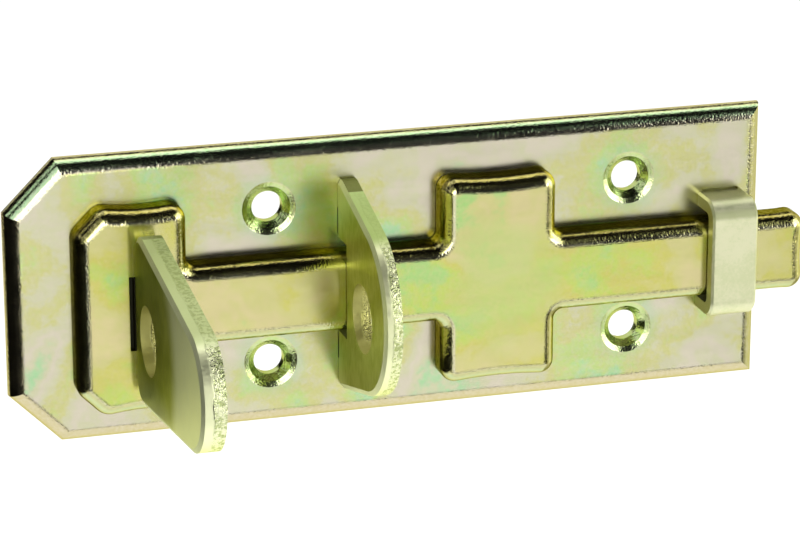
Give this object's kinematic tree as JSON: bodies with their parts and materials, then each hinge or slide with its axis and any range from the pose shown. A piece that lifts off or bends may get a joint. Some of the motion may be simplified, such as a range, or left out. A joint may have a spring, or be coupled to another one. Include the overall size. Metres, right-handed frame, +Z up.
{
  "type": "lockable slide bolt",
  "caption": "Straight sliding door bolt of pressed, yellow-passivated steel: base plate, sliding bolt with an upright grip, fixed padlock eye and a guide loop for the tip.",
  "frame": {"origin": "centre of the four screw holes, on the surface of the door", "axes": "+X along the slide towards the bolt's tip, +Z up, -Y away from the door"},
  "size_m": [0.1472, 0.0594, 0.052],
  "materials": {
    "passivated_sheet": "bright zinc plating with a glossy, clouded yellow-green passivation",
    "passivated_stock": "tumbled zinc plating with a satin yellow-green passivation and rough sheared edges",
    "passivated_strap": "satin zinc plating with a pale yellow passivation and fine rolled grain"
  },
  "bodies": {
    "plate": {"base_plate": "passivated_sheet", "staple_eye": "passivated_stock", "guide_loop": "passivated_strap"},
    "bolt": {"sliding_bolt": "passivated_sheet", "handle_eye": "passivated_stock"}
  },
  "joints": [
    {"name": "bolt_slide", "type": "slide", "parent": "plate", "child": "bolt", "axis": [1, 0, 0], "range_m": [-0.0146, 0.0281]}
  ]
}
